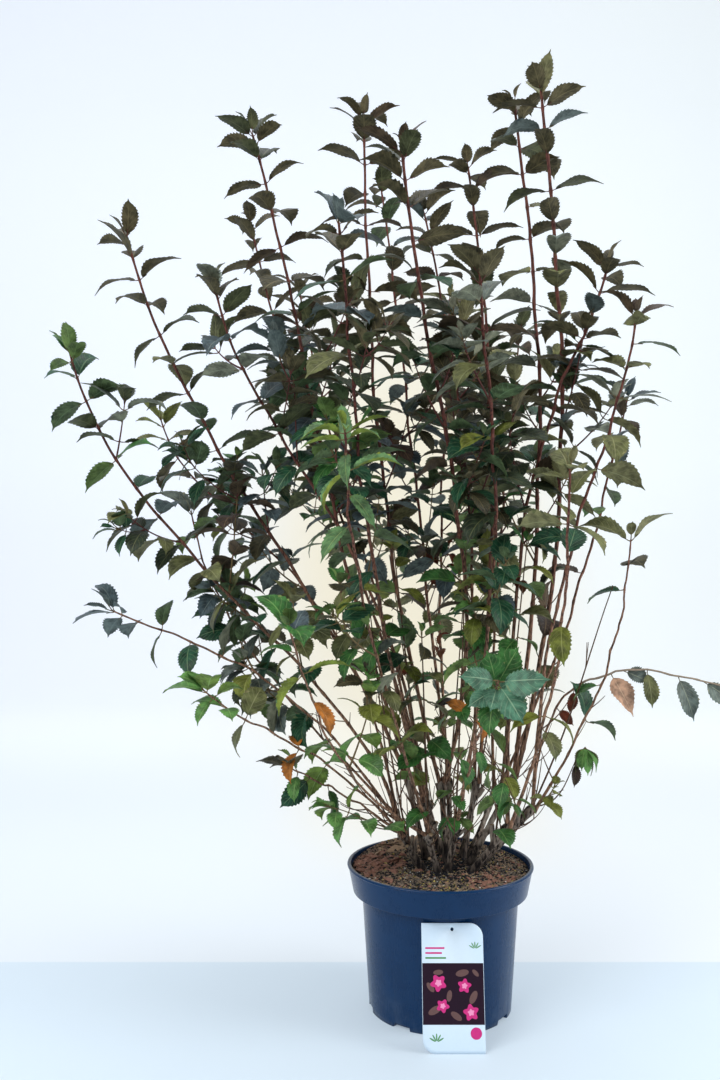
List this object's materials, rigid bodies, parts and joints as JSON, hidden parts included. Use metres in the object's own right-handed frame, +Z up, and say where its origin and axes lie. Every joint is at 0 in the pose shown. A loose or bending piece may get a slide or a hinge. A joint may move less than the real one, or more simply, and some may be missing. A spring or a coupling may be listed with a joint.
{
  "type": "potted weigela shrub",
  "caption": "Bushy deciduous shrub with long upright leafy shoots from old stools, standing in a round nursery pot of soil with a card label leaning on it.",
  "frame": {"origin": "centre of the pot's flat underside, on the floor", "axes": "+Z up through the pot to the top of the crown, +X to the right and +Y to the back of the plant as seen from the label's side"},
  "size_m": [1.1701, 0.9939, 1.5656],
  "materials": {
    "pot": "satin, dark blue, moulded",
    "soil": "rough, granular peat and bark",
    "label": "smooth card",
    "bark": "fissured, dull",
    "foliage": "satin leaves on thin twigs"
  },
  "bodies": {
    "root": {"pot": "pot", "soil": "soil", "label": "label", "stool_left": "bark", "stool_mid_left": "bark", "stool_front": "bark", "stool_centre": "bark", "stool_back": "bark", "stool_back_right": "bark", "stool_right": "bark", "stool_low_right": "bark", "bough_far_left": "bark", "bough_left": "bark", "bough_left_tall": "bark", "bough_left_inner": "bark", "bough_centre_left": "bark", "bough_right_front": "bark", "bough_centre_tall": "bark", "bough_centre_front": "bark", "bough_back_left": "bark", "bough_left_back": "bark", "bough_back_middle": "bark", "bough_centre_back": "bark", "bough_centre_right": "bark", "bough_right_inner": "bark", "bough_back_right": "bark", "bough_right_tall": "bark", "bough_right_highest": "bark", "foliage_left_short": "foliage", "foliage_left_under": "foliage", "foliage_far_left": "foliage", "foliage_low_left": "foliage", "foliage_lowest_left": "foliage", "foliage_low_front_left": "foliage", "foliage_left": "foliage", "foliage_left_tall": "foliage", "foliage_left_inner": "foliage", "foliage_centre_left": "foliage", "foliage_front_left": "foliage", "foliage_front_low": "foliage", "foliage_right_front": "foliage", "foliage_front_right": "foliage", "foliage_centre_tall": "foliage", "foliage_centre_front": "foliage", "foliage_back_left": "foliage", "foliage_left_back": "foliage", "foliage_back_middle": "foliage", "foliage_centre_back": "foliage", "foliage_centre_right": "foliage", "foliage_right_inner": "foliage", "foliage_back_right": "foliage", "foliage_right_behind": "foliage", "foliage_right_tall": "foliage", "foliage_right_highest": "foliage", "foliage_right_reach": "foliage", "foliage_right_outer": "foliage", "foliage_right_low": "foliage", "foliage_right_side": "foliage", "foliage_front_side": "foliage"}
  },
  "joints": []
}
